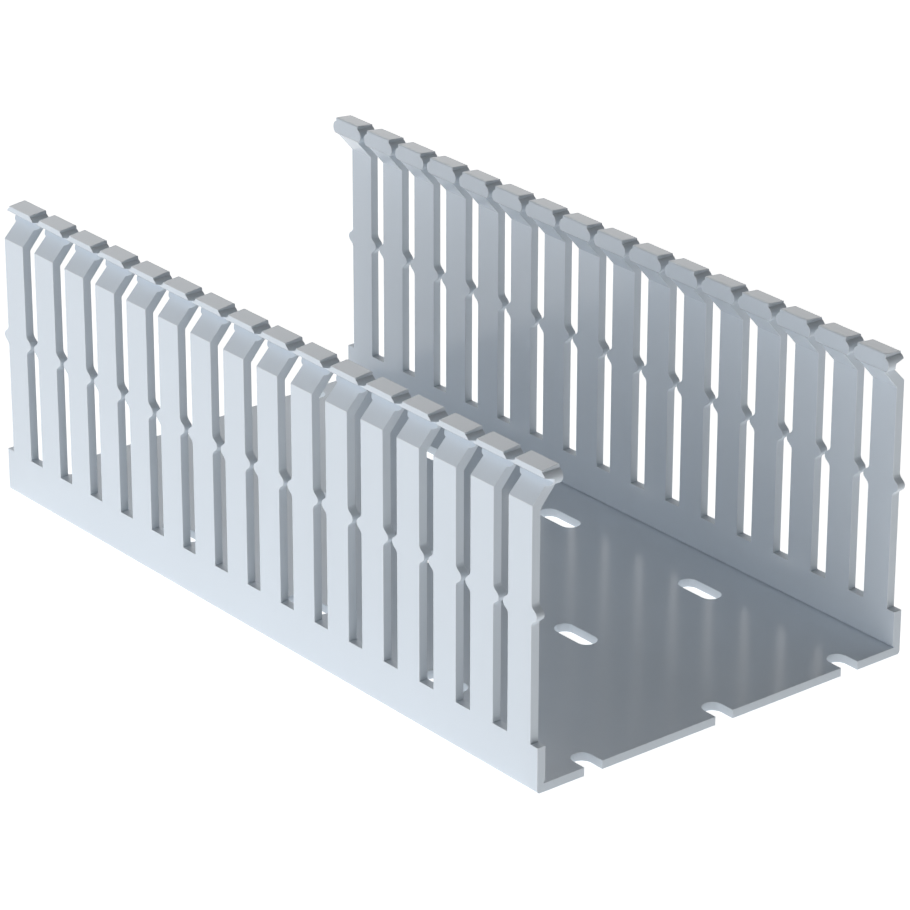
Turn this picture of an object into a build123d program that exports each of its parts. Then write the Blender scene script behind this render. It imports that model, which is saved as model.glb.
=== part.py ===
from build123d import *
import os
from math import radians, sin, sqrt, tan

os.makedirs("parts", exist_ok=True)

# A slotted wire duct: one extruded channel with slotted side walls, without its cover.
# X runs along the duct, Y across it and Z up. The origin is under the middle of the base.
# All sizes are in millimetres.

# Overall size
finger_pitch = 12.7
finger_count = 16
width = 107.95
height = 75.4

# Wall and base of the extruded section
wall_thickness = 2.25
base_thickness = 2.2
bottom_edge_radius = 0.8
groove_width = 0.4
groove_height = 0.35

# Head of the wall, which leans inwards and carries the lip that the cover clips over
lean_angle = 46.0
neck_inset = 4.5
neck_thickness = 2.4
neck_height = 0.85
lip_reach = 2.45
lip_thickness = 1.45
lip_root_drop = 0.7
top_fall = 0.5
head_face_height = 4.1
kink_drop = 1.35

# Finger slots, cut straight through both walls
slot_width = 4.9
slot_bottom = 11.2
mouth_width = 3.8

# Bumps that narrow each slot at mid height and at the head, to keep the wires in. Those at mid
# height have sloping flanks and a rounded nose, and those at the head are round.
bump_gap = 1.4
bump_flank_angle = 38.5
bump_radius = 1.3
mid_bump_level = 41.9
head_bump_radius = 1.9
head_bump_below_top = 2.7

# Mounting slots in the base, lined up with every fourth finger slot
mounting_slot_length = 12.7
mounting_slot_width = 5.1
mounting_row_spacing = 38.1
mounting_row_count = 3
pitches_per_mounting_slot = 4

# Places worked out from the sizes above
length = finger_pitch * finger_count
wall_outside = width / 2
wall_inside = wall_outside - wall_thickness
neck_outside = wall_outside - neck_inset
head_inside = neck_outside - neck_thickness
lip_outside = neck_outside + lip_reach

lip_top = height - top_fall
lip_bottom = lip_top - lip_thickness
lip_root = lip_bottom - lip_root_drop
neck_bottom = lip_root - neck_height
shoulder_level = neck_bottom - neck_inset * tan(radians(lean_angle))
kink_level = shoulder_level - kink_drop

half_slot = slot_width / 2
half_mouth = mouth_width / 2
flank_apex = bump_gap / 2 - bump_radius * (1 / sin(radians(bump_flank_angle)) - 1)
flank_slope = tan(radians(bump_flank_angle))
flank_rise = (half_slot - flank_apex) * flank_slope
head_bump_level = height - head_bump_below_top
head_bump_centre = bump_gap / 2 + head_bump_radius
head_bump_foot = head_bump_level - sqrt(head_bump_radius**2 - (head_bump_centre - half_slot)**2)
head_bump_crease = head_bump_level + sqrt(head_bump_radius**2 - (head_bump_centre - half_mouth)**2)
above_top = height + slot_width

mounting_column_spacing = finger_pitch * pitches_per_mounting_slot
mounting_column_count = finger_count // pitches_per_mounting_slot + 1

# Outline of one finger slot, seen from the side: square at the bottom, pinched by two
# pairs of bumps, and open at the top
with BuildSketch() as slot_outline:
    with BuildLine():
        FilletPolyline(
            (0, slot_bottom),
            (half_slot, slot_bottom),
            (half_slot, mid_bump_level - flank_rise),
            (flank_apex, mid_bump_level),
            (half_slot, mid_bump_level + flank_rise),
            (half_slot, head_bump_foot),
            radius=[0, 0, bump_radius, 0],
        )
        ThreePointArc(
            (half_slot, head_bump_foot),
            (bump_gap / 2, head_bump_level),
            (half_mouth, head_bump_crease),
        )
        Polyline(
            (half_mouth, head_bump_crease),
            (half_mouth, above_top),
            (0, above_top),
        )
        mirror(about=Plane.YZ)
    make_face()

with BuildPart() as duct_body:
    # The cross-section, drawn as its half at +Y and mirrored, and extruded in one piece
    with BuildSketch(Plane.YZ.offset(-length / 2)) as section:
        with BuildLine():
            Polyline(
                (0, 0),
                (wall_outside, 0),
                (wall_outside, shoulder_level),
                (neck_outside, neck_bottom),
                (neck_outside, lip_root),
                (lip_outside, lip_bottom),
                (lip_outside, lip_top),
                (head_inside, height),
                (head_inside, height - head_face_height),
                (wall_inside, kink_level),
                (wall_inside, base_thickness + groove_height),
                (wall_inside + groove_width, base_thickness + groove_height),
                (wall_inside + groove_width, base_thickness),
                (0, base_thickness),
                close=True,
            )
        make_face()
        mirror(about=Plane.YZ)
        bottom_corners = section.vertices().group_by(Axis.Y)[0].sort_by(Axis.X)
        fillet([bottom_corners[0], bottom_corners[-1]], bottom_edge_radius)
    extrude(amount=length)

    # The finger slots: a row of them leaves the fingers, and the duct is cut off through
    # the middle of a slot at each end
    with BuildSketch(Plane.XZ):
        with GridLocations(finger_pitch, 1, finger_count + 1, 1):
            add(slot_outline.sketch)
    extrude(amount=width, both=True, mode=Mode.SUBTRACT)

    # The mounting slots through the base, the end ones cut in half with the duct
    with BuildSketch(Plane.XY):
        with GridLocations(mounting_column_spacing, mounting_row_spacing,
                           mounting_column_count, mounting_row_count):
            SlotOverall(mounting_slot_length, mounting_slot_width)
    extrude(amount=base_thickness, mode=Mode.SUBTRACT)

duct_body.part.label = "duct_body"
export_step(duct_body.part, "parts/duct_body.step")
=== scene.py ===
from math import acos, atan2, cos, pi, radians, sin, tan

import bmesh
import bpy
from bpy.props import FloatProperty, FloatVectorProperty, IntProperty, PointerProperty
from mathutils import Matrix, Vector


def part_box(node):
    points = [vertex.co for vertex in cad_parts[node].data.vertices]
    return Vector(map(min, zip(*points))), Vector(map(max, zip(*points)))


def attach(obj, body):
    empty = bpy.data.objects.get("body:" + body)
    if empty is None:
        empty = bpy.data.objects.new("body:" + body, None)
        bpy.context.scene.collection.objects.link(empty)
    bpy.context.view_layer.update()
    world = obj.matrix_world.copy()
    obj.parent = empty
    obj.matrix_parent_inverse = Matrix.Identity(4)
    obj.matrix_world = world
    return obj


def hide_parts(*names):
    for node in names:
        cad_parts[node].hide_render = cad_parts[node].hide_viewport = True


bl_info = {
    "name": "Slotted Wire Duct",
    "version": (1, 0, 0),
    "blender": (4, 5, 0),
    "location": "3D View > Sidebar > Wire Duct",
    "description": "Builds an open slotted wire duct in satin rigid plastic, and a studio stage for it",
    "category": "Add Mesh",
}

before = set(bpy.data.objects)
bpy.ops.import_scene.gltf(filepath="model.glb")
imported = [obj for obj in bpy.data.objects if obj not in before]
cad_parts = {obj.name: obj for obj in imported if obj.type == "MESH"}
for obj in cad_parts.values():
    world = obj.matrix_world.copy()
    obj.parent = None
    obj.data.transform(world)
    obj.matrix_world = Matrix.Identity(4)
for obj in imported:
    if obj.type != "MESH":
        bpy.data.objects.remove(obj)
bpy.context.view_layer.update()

DUCT_NODE = "duct_body"
DUCT_LOW, DUCT_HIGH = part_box(DUCT_NODE)
DUCT_SIZE = DUCT_HIGH - DUCT_LOW
MM = 0.001


# Sizes and colours

def size_property(name, description, millimetres):
    """A length of the duct, shown in the scene's own units."""
    return FloatProperty(name=name, description=description, default=millimetres * MM,
                         min=0.0, subtype="DISTANCE", unit="LENGTH", precision=5)


def colour_property(name, description, colour):
    """A colour of the plastic, as linear red, green and blue."""
    return FloatVectorProperty(name=name, description=description, default=colour,
                               min=0.0, max=1.0, size=3, subtype="COLOR")


class DuctSizes(bpy.types.PropertyGroup):
    """Sizes of the duct's section and of its slots. Its length, width and height are the frame's."""

    finger_count: IntProperty(
        name="Fingers", description="Fingers along each wall", default=16, min=2)
    wall_thickness: size_property("Wall", "Thickness of the two side walls", 2.25)
    base_thickness: size_property("Base", "Thickness of the base", 2.2)
    bottom_radius: size_property("Bottom Radius", "Radius of the outer bottom edges", 0.8)
    groove_width: size_property("Groove Width", "Width of the groove inside each bottom corner", 0.4)
    groove_height: size_property("Groove Height", "Height of the groove inside each bottom corner", 0.35)
    lean_angle: FloatProperty(
        name="Lean", description="Slope of the shoulder under the neck, from level",
        default=radians(46.0), subtype="ANGLE")
    neck_inset: size_property("Neck Inset", "How far the neck stands in from the wall's outside", 4.5)
    neck_thickness: size_property("Neck", "Thickness of the neck", 2.4)
    neck_height: size_property("Neck Height", "Height of the neck under the lip", 0.85)
    lip_reach: size_property("Lip Reach", "How far the lip for the cover stands out from the neck", 2.45)
    lip_thickness: size_property("Lip", "Thickness of that lip at its edge", 1.45)
    lip_root_drop: size_property("Lip Root", "Fall of the lip's underside towards the neck", 0.7)
    top_fall: size_property("Top Fall", "Fall of the head's top towards the lip", 0.5)
    head_edge: size_property("Head Edge", "Radius of the head's inner top edge", 0.4)
    head_face: size_property("Head Face", "Height of the head's inner face", 4.1)
    kink_drop: size_property("Kink Drop", "Drop from the outer bend of the wall to the inner one", 1.35)
    slot_width: size_property("Slot Width", "Width of a finger slot", 4.9)
    slot_bottom: size_property("Slot Bottom", "Height of the slots' square bottoms", 11.2)
    mouth_width: size_property("Mouth Width", "Width of a slot between the tops of two heads", 3.8)
    bump_gap: size_property("Bump Gap", "Gap between the two bumps of a slot", 1.4)
    bump_angle: FloatProperty(
        name="Bump Angle", description="Slope of the middle bumps' flanks, from level",
        default=radians(38.5), subtype="ANGLE")
    bump_radius: size_property("Bump Radius", "Radius of the middle bumps' noses and feet", 1.3)
    mid_bump: size_property("Middle Bump", "Height of the middle bumps", 41.9)
    head_bump_radius: size_property("Head Bump", "Radius of the round bumps at the head", 1.9)
    head_bump_drop: size_property("Head Bump Drop", "Drop from the top to the head's bumps", 2.7)
    mounting_length: size_property("Mounting Slot", "Length of a mounting slot", 12.7)
    mounting_width: size_property("Mounting Slot Width", "Width of a mounting slot", 5.1)
    mounting_rows: IntProperty(
        name="Mounting Rows", description="Rows of mounting slots along the base", default=3, min=1)
    mounting_row_spacing: size_property("Row Spacing", "Spacing of those rows", 38.1)
    mounting_pitches: IntProperty(
        name="Fingers per Mounting Slot", description="Fingers from one mounting slot to the next",
        default=4, min=1)
    edge_break: size_property("Edge Break", "Width of the rounding along every outer edge", 0.09)


class DuctFinish(bpy.types.PropertyGroup):
    """Colours and gloss of the plastic."""

    skin_colour: colour_property("Skin", "Colour of the drawn surfaces", (0.70, 0.77, 0.845))
    cut_colour: colour_property("Cut Faces", "Colour of the punched and sawn surfaces", (0.66, 0.722, 0.782))
    skin_roughness: FloatProperty(
        name="Skin Roughness", description="Roughness of the drawn surfaces", default=0.17, min=0.0, max=1.0)
    cut_roughness: FloatProperty(
        name="Cut Roughness", description="Roughness of the cut surfaces", default=0.46, min=0.0, max=1.0)
    # The edges' colour is lighter than the skin's: partly rubbed wear, partly a painted highlight along
    # every rounded edge
    edge_wear_highlight_colour: colour_property("Edges", "Colour of the edges, rubbed a little lighter", (0.75, 0.80, 0.86))
    edge_roughness: FloatProperty(
        name="Edge Roughness", description="Roughness of the rubbed edges", default=0.25, min=0.0, max=1.0)


class StageSettings(bpy.types.PropertyGroup):
    """The camera's place and the light of the stage."""

    camera_azimuth: FloatProperty(
        name="Azimuth", description="Turn of the camera round the duct",
        default=radians(51.0465), subtype="ANGLE")
    camera_elevation: FloatProperty(
        name="Elevation", description="Height of the camera over the floor's plane",
        default=radians(23.9867), subtype="ANGLE")
    camera_roll: FloatProperty(
        name="Roll", description="Tilt of the camera to its side", default=radians(0.0733), subtype="ANGLE")
    camera_distance: FloatProperty(
        name="Distance", description="Distance from the camera to its aim", default=1.05125, unit="LENGTH")
    camera_aim: FloatVectorProperty(
        name="Aim", description="Point that the camera looks at", default=(-0.00589, 0.01015, 0.02464),
        size=3, subtype="XYZ", unit="LENGTH")
    camera_lens: FloatProperty(name="Lens", description="Focal length on a 36 mm sensor", default=174.829)
    # The floor's glow is light that the floor gives off itself, as a light table does, and not light that it
    # reflects
    floor_glow: FloatProperty(
        name="Floor Glow", description="Even light that the pale floor gives back to the duct",
        default=0.85, min=0.0)
    floor_white: FloatProperty(
        name="Floor White", description="How white the floor looks before the lamps reach it",
        default=0.9, min=0.0, max=1.0)
    surround: FloatProperty(
        name="Surround", description="Even light from all round and above", default=0.0, min=0.0)


# The drawn section and the cutters, in metres. Points run anticlockwise.

# Steps along the arcs of the section, the slots and the mounting slots
CORNER_STEPS = 6
HEAD_EDGE_STEPS = 6
FOOT_STEPS = 6
NOSE_STEPS = 11
HEAD_STEPS = 17
ROUND_STEPS = 20


def arc(centre, radius, start, end, steps):
    """Points along an arc, its two ends included."""
    return [(centre[0] + radius * cos(start + (end - start) * i / steps),
             centre[1] + radius * sin(start + (end - start) * i / steps)) for i in range(steps + 1)]


def half_section(s):
    """The section at +Y, as (y, z), from the bottom edge round to the groove at the base."""
    outside = DUCT_SIZE.y / 2
    inside = outside - s.wall_thickness
    neck = outside - s.neck_inset
    head_inside = neck - s.neck_thickness
    top = DUCT_SIZE.z
    lip_top = top - s.top_fall
    lip_bottom = lip_top - s.lip_thickness
    lip_root = lip_bottom - s.lip_root_drop
    neck_bottom = lip_root - s.neck_height
    shoulder = neck_bottom - s.neck_inset * tan(s.lean_angle)
    radius = s.bottom_radius
    fall = atan2(s.top_fall, neck + s.lip_reach - head_inside)
    edge = s.head_edge
    edge_height = top - edge * (1.0 + sin(fall)) / cos(fall)
    return [
        *arc((outside - radius, radius), radius, -pi / 2, 0.0, CORNER_STEPS),
        (outside, shoulder),
        (neck, neck_bottom),
        (neck, lip_root),
        (neck + s.lip_reach, lip_bottom),
        (neck + s.lip_reach, lip_top),
        *arc((head_inside + edge, edge_height), edge, pi / 2 - fall, pi, HEAD_EDGE_STEPS),
        (head_inside, top - s.head_face),
        (inside, shoulder - s.kink_drop),
        (inside, s.base_thickness + s.groove_height),
        (inside + s.groove_width, s.base_thickness + s.groove_height),
        (inside + s.groove_width, s.base_thickness),
    ]


def half_slot(s):
    """A finger slot's outline at +X, as (x, z), from its bottom corner up past the finger's top."""
    side = s.slot_width / 2
    nose = s.bump_gap / 2 + s.bump_radius
    apex = nose - s.bump_radius / sin(s.bump_angle)
    slope = tan(s.bump_angle)
    turn = pi / 2 - s.bump_angle
    hollow = s.bump_radius * tan(turn / 2)
    rise = (side - apex) * slope
    foot = side - s.bump_radius
    head = DUCT_SIZE.z - s.head_bump_drop
    centre = s.bump_gap / 2 + s.head_bump_radius
    mouth = s.mouth_width / 2

    return [
        (side, s.slot_bottom),
        *arc((foot, s.mid_bump - rise - hollow), s.bump_radius, 0.0, turn, FOOT_STEPS),
        *arc((nose, s.mid_bump), s.bump_radius, pi + turn, pi - turn, NOSE_STEPS),
        *arc((foot, s.mid_bump + rise + hollow), s.bump_radius, -turn, 0.0, FOOT_STEPS),
        *arc((centre, head), s.head_bump_radius, pi + acos((centre - side) / s.head_bump_radius),
             pi - acos((centre - mouth) / s.head_bump_radius), HEAD_STEPS),
        (mouth, DUCT_SIZE.z + s.slot_width),
    ]


def mirrored(half):
    """A closed outline from its half at positive first coordinates."""
    return half + [(-a, b) for a, b in reversed(half)]


def mounting_outline(s):
    """A mounting slot's outline, as (x, y)."""
    radius = s.mounting_width / 2
    reach = s.mounting_length / 2 - radius
    return (arc((reach, 0.0), radius, -pi / 2, pi / 2, ROUND_STEPS)
            + arc((-reach, 0.0), radius, pi / 2, 3 * pi / 2, ROUND_STEPS))


def prism(name, outline, place, start, end):
    """A closed mesh object: an outline placed by place(a, b, depth) and drawn from start to end."""
    mesh = bpy.data.meshes.new(name)
    bm = bmesh.new()
    rings = [[bm.verts.new(place(a, b, depth)) for a, b in outline] for depth in (start, end)]
    bm.faces.new(rings[0])
    bm.faces.new(reversed(rings[1]))
    count = len(outline)
    for i in range(count):
        j = (i + 1) % count
        bm.faces.new((rings[0][j], rings[0][i], rings[1][i], rings[1][j]))
    bmesh.ops.recalc_face_normals(bm, faces=bm.faces)
    bm.to_mesh(mesh)
    bm.free()
    piece = bpy.data.objects.new(name, mesh)
    bpy.context.scene.collection.objects.link(piece)
    return piece


# Shaders

PLASTIC_IOR = 1.53

# Each grain: the scale of its coordinates along X, Y and Z, where a small one draws the grain out,
# and its depth in metres
SKIN_GRAIN = ((8.0, 900.0, 900.0), 0.000006)
CUT_GRAIN = ((700.0, 120.0, 700.0), 0.00001)
EDGE_GRAIN = ((300.0, 300.0, 300.0), 0.000004)
GRAIN_DETAIL = 3.0
MOTTLING_DETAIL = 4.0

# How much more the mottling changes the roughness than the colour
GLOSS_SWING = 2.0


def new_group(name, inputs, outputs):
    """A shader node group with its sockets, and the nodes that stand for them inside."""
    group = bpy.data.node_groups.new(name, "ShaderNodeTree")
    for socket, kind, default in inputs:
        item = group.interface.new_socket(socket, in_out="INPUT", socket_type=kind)
        if default is not None:
            item.default_value = default
    for socket, kind in outputs:
        group.interface.new_socket(socket, in_out="OUTPUT", socket_type=kind)
    return group, group.nodes.new("NodeGroupInput"), group.nodes.new("NodeGroupOutput")


def math_node(nodes, links, operation, first, second=None, clamp=False):
    """The result of a maths node, whose two values are numbers or sockets."""
    node = nodes.new("ShaderNodeMath")
    node.operation = operation
    node.use_clamp = clamp
    for socket, value in zip(node.inputs, (first, second)):
        if value is None:
            continue
        if isinstance(value, (int, float)):
            socket.default_value = value
        else:
            links.new(value, socket)
    return node.outputs[0]


def noise(nodes, links, vector, detail):
    """A noise node over the given coordinates, at a scale of 1 unless that is linked."""
    node = nodes.new("ShaderNodeTexNoise")
    node.inputs["Scale"].default_value = 1.0
    node.inputs["Detail"].default_value = detail
    links.new(vector, node.inputs["Vector"])
    return node


def scaled_coordinates(nodes, links, scale):
    """Object coordinates, stretched by a scale along each axis."""
    coordinates = nodes.new("ShaderNodeTexCoord")
    mapping = nodes.new("ShaderNodeMapping")
    mapping.inputs["Scale"].default_value = scale
    links.new(coordinates.outputs["Object"], mapping.inputs["Vector"])
    return mapping.outputs["Vector"]


def tint_group():
    """Faint mottling of a colour and of its gloss."""
    group, inputs, outputs = new_group(
        "Mottled Tint",
        [("Colour", "NodeSocketColor", None), ("Roughness", "NodeSocketFloat", 0.4),
         ("Mottling", "NodeSocketFloat", 0.03), ("Mottling Scale", "NodeSocketFloat", 60.0)],
        [("Colour", "NodeSocketColor"), ("Roughness", "NodeSocketFloat")])
    nodes, links = group.nodes, group.links
    cloud = noise(nodes, links, scaled_coordinates(nodes, links, (1.0, 1.0, 1.0)), MOTTLING_DETAIL)
    links.new(inputs.outputs["Mottling Scale"], cloud.inputs["Scale"])
    swing = math_node(nodes, links, "SUBTRACT", cloud.outputs["Fac"], 0.5)
    swing = math_node(nodes, links, "MULTIPLY", swing, inputs.outputs["Mottling"])
    value = math_node(nodes, links, "ADD", swing, 1.0)
    shade = nodes.new("ShaderNodeHueSaturation")
    links.new(inputs.outputs["Colour"], shade.inputs["Color"])
    links.new(value, shade.inputs["Value"])
    links.new(shade.outputs["Color"], outputs.inputs["Colour"])
    rough = math_node(nodes, links, "MULTIPLY", swing, GLOSS_SWING)
    rough = math_node(nodes, links, "ADD", rough, inputs.outputs["Roughness"], clamp=True)
    links.new(rough, outputs.inputs["Roughness"])
    return group


def plastic_material(name, colour, roughness, grain, tinting):
    """Satin rigid plastic with a grain, given as its scale and depth, and the shared tint group."""
    material = bpy.data.materials.new(name)
    material.use_nodes = True
    nodes, links = material.node_tree.nodes, material.node_tree.links
    shader = nodes["Principled BSDF"]
    shader.inputs["IOR"].default_value = PLASTIC_IOR
    tint = nodes.new("ShaderNodeGroup")
    tint.node_tree = tinting
    tint.inputs["Colour"].default_value = (*colour, 1.0)
    tint.inputs["Roughness"].default_value = roughness
    links.new(tint.outputs["Colour"], shader.inputs["Base Color"])
    links.new(tint.outputs["Roughness"], shader.inputs["Roughness"])
    scale, depth = grain
    ripple = noise(nodes, links, scaled_coordinates(nodes, links, scale), GRAIN_DETAIL)
    bump = nodes.new("ShaderNodeBump")
    bump.inputs["Strength"].default_value = 1.0
    bump.inputs["Distance"].default_value = depth
    links.new(ripple.outputs["Fac"], bump.inputs["Height"])
    links.new(bump.outputs["Normal"], shader.inputs["Normal"])
    return material


# Geometry nodes: the blank is cut by a row of finger slots and a grid of mounting slots

# A face that looks this nearly along X is a sawn or punched one
SAWN_FACING = 0.99


def cutter_row(nodes, links, cutter, count, pitch, start, material):
    """A row of copies of a cutter along X, as real geometry."""
    line = nodes.new("GeometryNodeMeshLine")
    line.mode = "OFFSET"
    links.new(count, line.inputs["Count"])
    offset = nodes.new("ShaderNodeCombineXYZ")
    links.new(pitch, offset.inputs["X"])
    links.new(offset.outputs["Vector"], line.inputs["Offset"])
    place = nodes.new("ShaderNodeCombineXYZ")
    links.new(start, place.inputs["X"])
    links.new(place.outputs["Vector"], line.inputs["Start Location"])
    info = nodes.new("GeometryNodeObjectInfo")
    links.new(cutter, info.inputs["Object"])
    painted = nodes.new("GeometryNodeSetMaterial")
    links.new(info.outputs["Geometry"], painted.inputs["Geometry"])
    links.new(material, painted.inputs["Material"])
    instances = nodes.new("GeometryNodeInstanceOnPoints")
    links.new(line.outputs["Mesh"], instances.inputs["Points"])
    links.new(painted.outputs["Geometry"], instances.inputs["Instance"])
    realized = nodes.new("GeometryNodeRealizeInstances")
    links.new(instances.outputs["Instances"], realized.inputs["Geometry"])
    return realized.outputs["Geometry"]


def cut_away(nodes, links, body, cutters):
    """The body less the cutters."""
    boolean = nodes.new("GeometryNodeMeshBoolean")
    boolean.operation = "DIFFERENCE"
    boolean.solver = "EXACT"
    links.new(body, boolean.inputs["Mesh 1"])
    links.new(cutters, boolean.inputs["Mesh 2"])
    return boolean.outputs["Mesh"]


def duct_tree():
    """The tree that punches a drawn blank into a slotted duct."""
    tree = bpy.data.node_groups.new("Punched Duct", "GeometryNodeTree")
    for name, kind in (
        ("Blank", "NodeSocketGeometry"), ("Finger Slot", "NodeSocketObject"),
        ("Mounting Slot", "NodeSocketObject"), ("Slot Count", "NodeSocketInt"),
        ("Pitch", "NodeSocketFloat"), ("First Slot", "NodeSocketFloat"),
        ("Mounting Count", "NodeSocketInt"), ("Mounting Pitch", "NodeSocketFloat"),
        ("Mounting Rows", "NodeSocketInt"), ("Row Spacing", "NodeSocketFloat"),
        ("Skin", "NodeSocketMaterial"), ("Cut Face", "NodeSocketMaterial"),
    ):
        tree.interface.new_socket(name, in_out="INPUT", socket_type=kind)
    tree.interface.new_socket("Duct", in_out="OUTPUT", socket_type="NodeSocketGeometry")
    nodes, links = tree.nodes, tree.links
    given = nodes.new("NodeGroupInput").outputs
    result = nodes.new("NodeGroupOutput").inputs

    skin = nodes.new("GeometryNodeSetMaterial")
    links.new(given["Blank"], skin.inputs["Geometry"])
    links.new(given["Skin"], skin.inputs["Material"])
    slots = cutter_row(nodes, links, given["Finger Slot"], given["Slot Count"], given["Pitch"],
                       given["First Slot"], given["Cut Face"])
    body = cut_away(nodes, links, skin.outputs["Geometry"], slots)

    row = cutter_row(nodes, links, given["Mounting Slot"], given["Mounting Count"],
                     given["Mounting Pitch"], given["First Slot"], given["Cut Face"])
    rows = nodes.new("GeometryNodeMeshLine")
    rows.mode = "OFFSET"
    links.new(given["Mounting Rows"], rows.inputs["Count"])
    spread = math_node(nodes, links, "SUBTRACT", given["Mounting Rows"], 1.0)
    spread = math_node(nodes, links, "MULTIPLY", spread, given["Row Spacing"])
    first = math_node(nodes, links, "MULTIPLY", spread, -0.5)
    for value, target in ((first, "Start Location"), (given["Row Spacing"], "Offset")):
        vector = nodes.new("ShaderNodeCombineXYZ")
        links.new(value, vector.inputs["Y"])
        links.new(vector.outputs["Vector"], rows.inputs[target])
    grid = nodes.new("GeometryNodeInstanceOnPoints")
    links.new(rows.outputs["Mesh"], grid.inputs["Points"])
    links.new(row, grid.inputs["Instance"])
    realized = nodes.new("GeometryNodeRealizeInstances")
    links.new(grid.outputs["Instances"], realized.inputs["Geometry"])
    body = cut_away(nodes, links, body, realized.outputs["Geometry"])

    normal = nodes.new("GeometryNodeInputNormal")
    parts = nodes.new("ShaderNodeSeparateXYZ")
    links.new(normal.outputs["Normal"], parts.inputs["Vector"])
    along = math_node(nodes, links, "ABSOLUTE", parts.outputs["X"])
    sawn = math_node(nodes, links, "GREATER_THAN", along, SAWN_FACING)
    ends = nodes.new("GeometryNodeSetMaterial")
    links.new(body, ends.inputs["Geometry"])
    links.new(sawn, ends.inputs["Selection"])
    links.new(given["Cut Face"], ends.inputs["Material"])
    links.new(ends.outputs["Geometry"], result["Duct"])
    return tree


def set_inputs(modifier, values):
    """Sets a geometry nodes modifier's inputs, given by name, through their identifiers."""
    for item in modifier.node_group.interface.items_tree:
        if item.item_type == "SOCKET" and item.in_out == "INPUT" and item.name in values:
            modifier[item.identifier] = values[item.name]


def plain_mesh(piece):
    """Puts a piece's modifiers into its mesh and takes them off."""
    graph = bpy.context.evaluated_depsgraph_get()
    mesh = bpy.data.meshes.new_from_object(
        piece.evaluated_get(graph), preserve_all_data_layers=True, depsgraph=graph)
    old = piece.data
    piece.modifiers.clear()
    piece.data = mesh
    bpy.data.meshes.remove(old)


# Welding distance in metres, the bend up to which two faces count as one flat face, and the bend
# from which an edge stands out
WELD = 1e-6
FLAT_ANGLE = radians(0.2)
EDGE_ANGLE = radians(22.0)
EDGE_SEGMENTS = 2
LARGE_FACE_WEIGHT = 100


def merge_flat_faces(piece):
    """Welds what the cuts left double and joins flat neighbours, so that only real edges are left.

    The edges that stand out are marked for rounding.
    """
    bm = bmesh.new()
    bm.from_mesh(piece.data)
    bmesh.ops.remove_doubles(bm, verts=bm.verts, dist=WELD)
    bmesh.ops.dissolve_limit(bm, angle_limit=FLAT_ANGLE, verts=bm.verts, edges=bm.edges,
                             delimit={"MATERIAL"})
    for face in bm.faces:
        face.smooth = True
    rounding = bm.edges.layers.float.new("bevel_weight_edge")
    for edge in bm.edges:
        if edge.calc_face_angle_signed(0.0) > EDGE_ANGLE:
            edge[rounding] = 1.0
    bm.to_mesh(piece.data)
    bm.free()


def sharpen_hollows(piece):
    """Keeps the edges that turn inwards sharp in the shading."""
    bm = bmesh.new()
    bm.from_mesh(piece.data)
    for edge in bm.edges:
        if edge.calc_face_angle_signed(0.0) < -EDGE_ANGLE:
            edge.smooth = False
    bm.to_mesh(piece.data)
    bm.free()


def break_edges(piece, width, material):
    """Rounds every marked edge by a little, in a material of its own, whose lighter colour is rubbed wear
    and also a painted highlight along the edges.

    The shading then follows the large faces, so that they still look flat.
    """
    piece.data.materials.append(material)
    bevel = piece.modifiers.new("Edge Break", "BEVEL")
    bevel.width = width
    bevel.segments = EDGE_SEGMENTS
    bevel.limit_method = "WEIGHT"
    bevel.use_clamp_overlap = False
    bevel.material = len(piece.data.materials) - 1
    bevel.miter_outer = "MITER_ARC"
    plain_mesh(piece)
    sharpen_hollows(piece)
    weights = piece.modifiers.new("Flat Faces", "WEIGHTED_NORMAL")
    weights.mode = "FACE_AREA"
    weights.weight = LARGE_FACE_WEIGHT
    weights.keep_sharp = True
    plain_mesh(piece)


# Operators

class WIREDUCT_OT_body(bpy.types.Operator):
    """Draws the duct's section along X and punches the finger slots and the mounting slots"""

    bl_idname = "wireduct.body"
    bl_label = "Duct Body"

    def execute(self, context):
        sizes = context.scene.duct_sizes
        finish = context.scene.duct_finish
        length, width, height = DUCT_SIZE
        tinting = tint_group()
        skin = plastic_material("Drawn Plastic", finish.skin_colour, finish.skin_roughness,
                                SKIN_GRAIN, tinting)
        cut = plastic_material("Cut Plastic", finish.cut_colour, finish.cut_roughness,
                               CUT_GRAIN, tinting)
        # The lighter edge material is rubbed wear and also a painted highlight on the rounded edges
        edge = plastic_material("Rubbed Highlit Edge", finish.edge_wear_highlight_colour, finish.edge_roughness,
                                EDGE_GRAIN, tinting)

        duct = prism("slotted_duct", mirrored(half_section(sizes)),
                     lambda y, z, x: (x, y, z), -length / 2, length / 2)
        # The cutters reach well past the walls and the base on both sides
        finger_slot = prism("finger_slot_cutter", mirrored(half_slot(sizes)),
                            lambda x, z, y: (x, y, z), -width, width)
        mounting_slot = prism("mounting_slot_cutter", mounting_outline(sizes),
                              lambda x, y, z: (x, y, z), -height / 10, height / 10)
        pitch = length / sizes.finger_count
        cuts = duct.modifiers.new("Punching", "NODES")
        cuts.node_group = duct_tree()
        set_inputs(cuts, {
            "Finger Slot": finger_slot, "Mounting Slot": mounting_slot,
            "Slot Count": sizes.finger_count + 1, "Pitch": pitch, "First Slot": -length / 2,
            "Mounting Count": sizes.finger_count // sizes.mounting_pitches + 1,
            "Mounting Pitch": pitch * sizes.mounting_pitches,
            "Mounting Rows": sizes.mounting_rows, "Row Spacing": sizes.mounting_row_spacing,
            "Skin": skin, "Cut Face": cut,
        })
        plain_mesh(duct)
        for cutter in (finger_slot, mounting_slot):
            bpy.data.objects.remove(cutter)
        merge_flat_faces(duct)
        break_edges(duct, sizes.edge_break, edge)
        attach(duct, "root")
        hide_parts(DUCT_NODE)
        return {"FINISHED"}


# The stage

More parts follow.
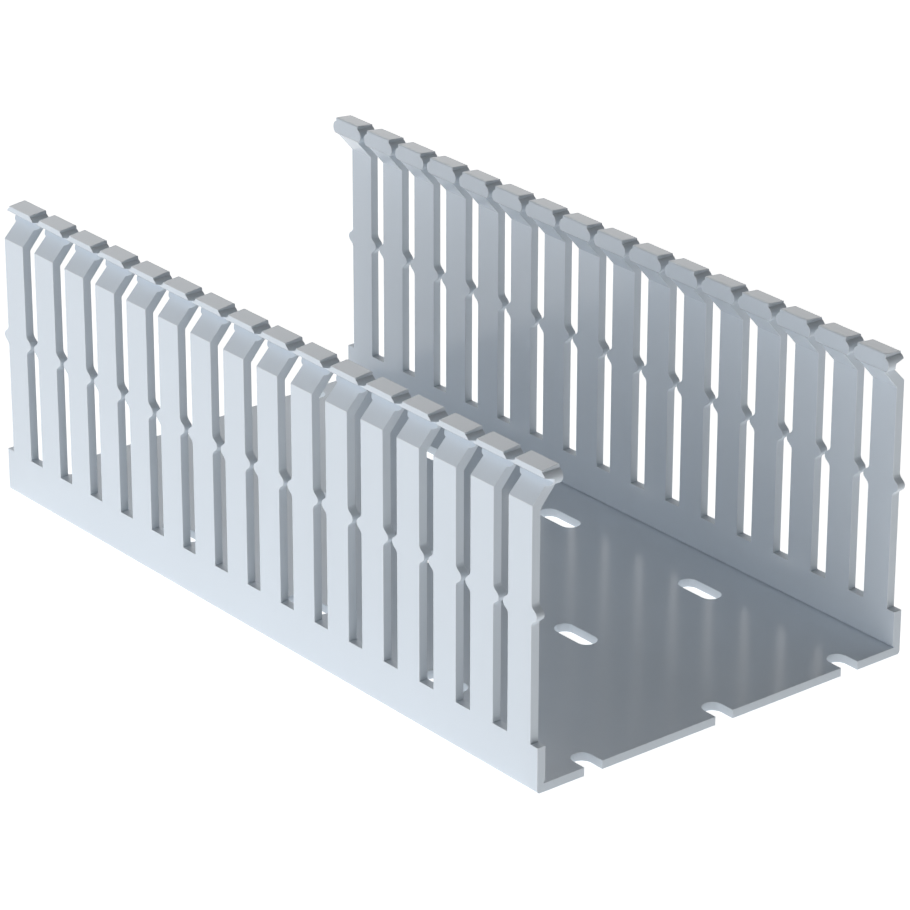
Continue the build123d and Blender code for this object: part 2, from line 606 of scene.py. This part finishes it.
FLOOR_COLOUR = (0.82, 0.82, 0.82, 1.0)
FLOOR_REACH = 6.0
FLOOR_UNDERSIDE = -0.02
FLOOR_TOP = -0.00002
WHITE = (1.0, 1.0, 1.0, 1.0)
SENSOR_WIDTH = 36.0
CAMERA_REACH = 50.0

# Each lamp: name, the way its light comes from as azimuth and elevation in degrees, power in watts
LAMPS = (
    ("front_left", -15.0, 8.0, 6.4),
    ("front_right", 15.0, 8.0, 5.2),
    ("front_high", -15.0, 40.0, 3.6),
    ("side_high", -110.0, 40.0, 4.6),
    ("back_low", -135.0, 5.5, 2.1),
    ("right_low", 90.0, 8.0, 1.4),
    ("front_top", 0.0, 65.0, 0.8),
    ("side_top", -90.0, 65.0, 0.9),
)
LAMP_WIDTH = 1.2
LAMP_DISTANCE = 1.8


def strength_by_ray(nodes, links, lit, seen):
    """A strength: seen for camera, mirror and glass rays, lit for the light that reaches surfaces."""
    # A mix of numbers has its factor at input 0 and its two values at inputs 2 and 3
    mix = nodes.new("ShaderNodeMix")
    mix.inputs[2].default_value = lit
    mix.inputs[3].default_value = seen
    path = nodes.new("ShaderNodeLightPath")
    looks = math_node(nodes, links, "MAXIMUM", path.outputs["Is Camera Ray"], path.outputs["Is Glossy Ray"])
    looks = math_node(nodes, links, "MAXIMUM", looks, path.outputs["Is Transmission Ray"])
    links.new(looks, mix.inputs[0])
    return mix.outputs[0]


def white_world(surround):
    """A world that is seen white, also in mirrors, and lights the surfaces by the surround alone."""
    world = bpy.data.worlds.new("Studio White")
    world.use_nodes = True
    nodes, links = world.node_tree.nodes, world.node_tree.links
    background = nodes["Background"]
    background.inputs["Color"].default_value = WHITE
    links.new(strength_by_ray(nodes, links, surround, 1.0), background.inputs["Strength"])
    return world


def floor_material(glow, white):
    """Pale matt floor that glows evenly, a light of its own that lights the duct from below. The camera sees
    it near white, with the duct's shadow on it.
    """
    material = bpy.data.materials.new("Pale Floor")
    material.use_nodes = True
    nodes, links = material.node_tree.nodes, material.node_tree.links
    shader = nodes["Principled BSDF"]
    shader.inputs["Base Color"].default_value = FLOOR_COLOUR
    shader.inputs["Roughness"].default_value = 1.0
    shader.inputs["Specular IOR Level"].default_value = 0.0
    shader.inputs["Emission Color"].default_value = WHITE
    links.new(strength_by_ray(nodes, links, glow, white), shader.inputs["Emission Strength"])
    return material


def direction(azimuth, elevation):
    """A unit vector; azimuth 0 is towards -Y and a quarter turn further is +X."""
    return Vector((sin(azimuth) * cos(elevation), -cos(azimuth) * cos(elevation), sin(elevation)))


def look_back(way):
    """Turns an object at a direction from the aim so that it looks at the aim."""
    return way.to_track_quat("Z", "Y").to_matrix().to_4x4()


class WIREDUCT_OT_stage(bpy.types.Operator):
    """Sets the pale floor, the white surround, the soft lamps and the camera"""

    bl_idname = "wireduct.stage"
    bl_label = "Stage"

    def execute(self, context):
        stage = context.scene.duct_stage
        floor = prism("floor", [(-FLOOR_REACH, -FLOOR_REACH), (FLOOR_REACH, -FLOOR_REACH),
                                (FLOOR_REACH, FLOOR_REACH), (-FLOOR_REACH, FLOOR_REACH)],
                      lambda x, y, z: (x, y, z), FLOOR_UNDERSIDE, FLOOR_TOP)
        floor.data.materials.append(floor_material(stage.floor_glow, stage.floor_white))
        context.scene.world = white_world(stage.surround)
        for name, azimuth, elevation, power in LAMPS:
            lamp = bpy.data.lights.new(name, "AREA")
            lamp.shape = "DISK"
            lamp.size = LAMP_WIDTH
            lamp.energy = power
            way = direction(radians(azimuth), radians(elevation))
            holder = bpy.data.objects.new(name, lamp)
            holder.matrix_world = Matrix.Translation(way * LAMP_DISTANCE) @ look_back(way)
            context.scene.collection.objects.link(holder)
        camera = bpy.data.cameras.new("photo_camera")
        camera.sensor_width = SENSOR_WIDTH
        camera.sensor_fit = "HORIZONTAL"
        camera.lens = stage.camera_lens
        camera.clip_end = CAMERA_REACH
        way = direction(stage.camera_azimuth, stage.camera_elevation)
        eye = bpy.data.objects.new("photo_camera", camera)
        eye.matrix_world = (Matrix.Translation(Vector(stage.camera_aim) + way * stage.camera_distance)
                            @ look_back(way) @ Matrix.Rotation(stage.camera_roll, 4, "Z"))
        context.scene.collection.objects.link(eye)
        context.scene.camera = eye
        context.scene.view_settings.view_transform = "Standard"
        return {"FINISHED"}


class WIREDUCT_PT_panel(bpy.types.Panel):
    """Sizes, finish and stage of the duct"""

    bl_idname = "WIREDUCT_PT_panel"
    bl_label = "Slotted Wire Duct"
    bl_space_type = "VIEW_3D"
    bl_region_type = "UI"
    bl_category = "Wire Duct"

    def draw(self, context):
        for group, operator in (
            (context.scene.duct_sizes, WIREDUCT_OT_body),
            (context.scene.duct_finish, None),
            (context.scene.duct_stage, WIREDUCT_OT_stage),
        ):
            box = self.layout.box()
            for name in group.bl_rna.properties.keys():
                if name not in ("name", "rna_type"):
                    box.prop(group, name)
            if operator:
                box.operator(operator.bl_idname)


CLASSES = (DuctSizes, DuctFinish, StageSettings, WIREDUCT_OT_body, WIREDUCT_OT_stage, WIREDUCT_PT_panel)


def register():
    for item in CLASSES:
        bpy.utils.register_class(item)
    bpy.types.Scene.duct_sizes = PointerProperty(type=DuctSizes)
    bpy.types.Scene.duct_finish = PointerProperty(type=DuctFinish)
    bpy.types.Scene.duct_stage = PointerProperty(type=StageSettings)


def unregister():
    for name in ("duct_sizes", "duct_finish", "duct_stage"):
        delattr(bpy.types.Scene, name)
    for item in reversed(CLASSES):
        bpy.utils.unregister_class(item)


def main():
    register()
    bpy.ops.wireduct.body()
    bpy.ops.wireduct.stage()


if __name__ == "__main__":
    main()
